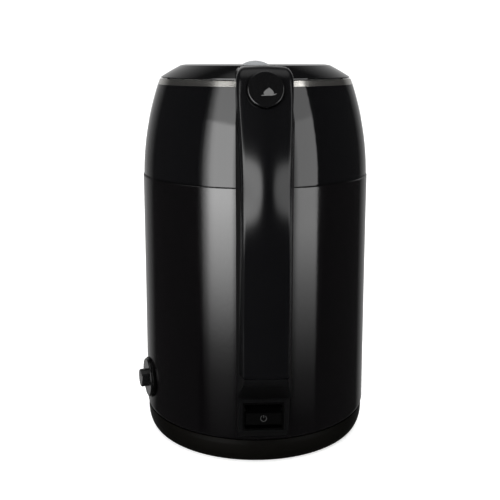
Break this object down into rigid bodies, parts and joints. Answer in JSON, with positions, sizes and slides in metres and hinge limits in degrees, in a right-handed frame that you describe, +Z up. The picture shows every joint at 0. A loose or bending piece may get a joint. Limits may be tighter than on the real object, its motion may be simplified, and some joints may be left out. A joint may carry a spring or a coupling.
{
  "type": "insulated electric kettle",
  "caption": "Insulated electric jug kettle with hinged lid, strap handle, push-button lid release, on/off lever and temperature dial.",
  "frame": {"origin": "centre of the connector socket's mouth, on the plane the kettle stands on and on the jug's own axis", "axes": "+Z up, +X towards the handle, -X towards the spout, the temperature dial is on the -Y side"},
  "size_m": [0.2035, 0.1574, 0.2509],
  "materials": {
    "gloss_black": "piano gloss",
    "cap_grey": "silver-grey satin gloss",
    "sleeve_paint": "satin gloss",
    "bright_steel": "polished",
    "vessel_steel": "brushed",
    "seal_rubber": "translucent grey silicone",
    "matte_black": "fine matte",
    "filter_plastic": "matte",
    "base_black": "matte",
    "screw_steel": "zinc plated",
    "contact_brass": "bright",
    "control_plastic": "moulded ivory",
    "heater_aluminium": "as rolled",
    "board_green": "solder mask",
    "grip_black": "semi gloss",
    "button_black": "gloss",
    "lever_black": "semi gloss",
    "dial_grey": "satin"
  },
  "bodies": {
    "kettle": {"upper_shell": "gloss_black", "lower_sleeve": "sleeve_paint", "rim_ring": "bright_steel", "inner_vessel": "vessel_steel", "neck_seal": "seal_rubber", "spout_beak": "gloss_black", "spout_duct": "matte_black", "spout_filter": "filter_plastic", "base_housing": "base_black", "bottom_cover": "base_black", "bottom_screws": "screw_steel", "connector_socket": "matte_black", "contact_rings": "contact_brass", "thermostat_control": "control_plastic", "vessel_support": "control_plastic", "heater_plate": "heater_aluminium", "heating_element": "heater_aluminium", "sensor_probe": "screw_steel", "control_board": "board_green", "handle_cover": "gloss_black", "handle_grip": "grip_black", "handle_screws": "screw_steel", "steam_tube": "seal_rubber", "button_guide": "matte_black", "button_spring": "screw_steel", "switch_bezel": "matte_black", "lever_pin": "screw_steel", "switch_block": "control_plastic", "hinge_bracket": "matte_black", "hinge_pin": "screw_steel", "hinge_spring": "screw_steel", "dial_escutcheon": "matte_black", "potentiometer": "control_plastic"},
    "lid": {"lid_cover": "gloss_black", "lid_cap": "cap_grey", "lid_base": "matte_black", "lid_screws": "screw_steel", "lid_disc": "vessel_steel", "lid_seal": "seal_rubber", "lid_hinge_arm": "gloss_black"},
    "button": {"lid_button": "button_black"},
    "slider": {"release_slider": "control_plastic"},
    "lever": {"switch_lever": "lever_black"},
    "dial": {"dial_knob": "dial_grey", "dial_spindle": "screw_steel"}
  },
  "joints": [
    {"name": "lid_hinge", "type": "hinge", "parent": "kettle", "child": "lid", "pos_m": [0.066, 0, 0.2455], "axis": [0, 1, 0], "range_deg": [0, 75], "deforming": ["hinge_spring"]},
    {"name": "button_press", "type": "slide", "parent": "kettle", "child": "button", "axis": [-0.9328, 0, -0.3604], "range_m": [0, 0.003], "stiffness_N_per_m": 400, "springref_m": -0.0005, "deforming": ["button_spring"]},
    {"name": "release_slide", "type": "slide", "parent": "kettle", "child": "slider", "axis": [-1, 0, 0], "range_m": [0, 0.0029]},
    {"name": "switch_press", "type": "hinge", "parent": "kettle", "child": "lever", "pos_m": [0.0882, 0, 0.0434], "axis": [0, 1, 0], "range_deg": [0, 12]},
    {"name": "dial_turn", "type": "hinge", "parent": "kettle", "child": "dial", "pos_m": [0.02031, -0.07324, 0.039], "axis": [0.2672, -0.9636, 0], "range_deg": [0, 270]}
  ],
  "couplings": [
    {"joint": "release_slide", "follows": "button_press", "ratio": 0.9328}
  ]
}
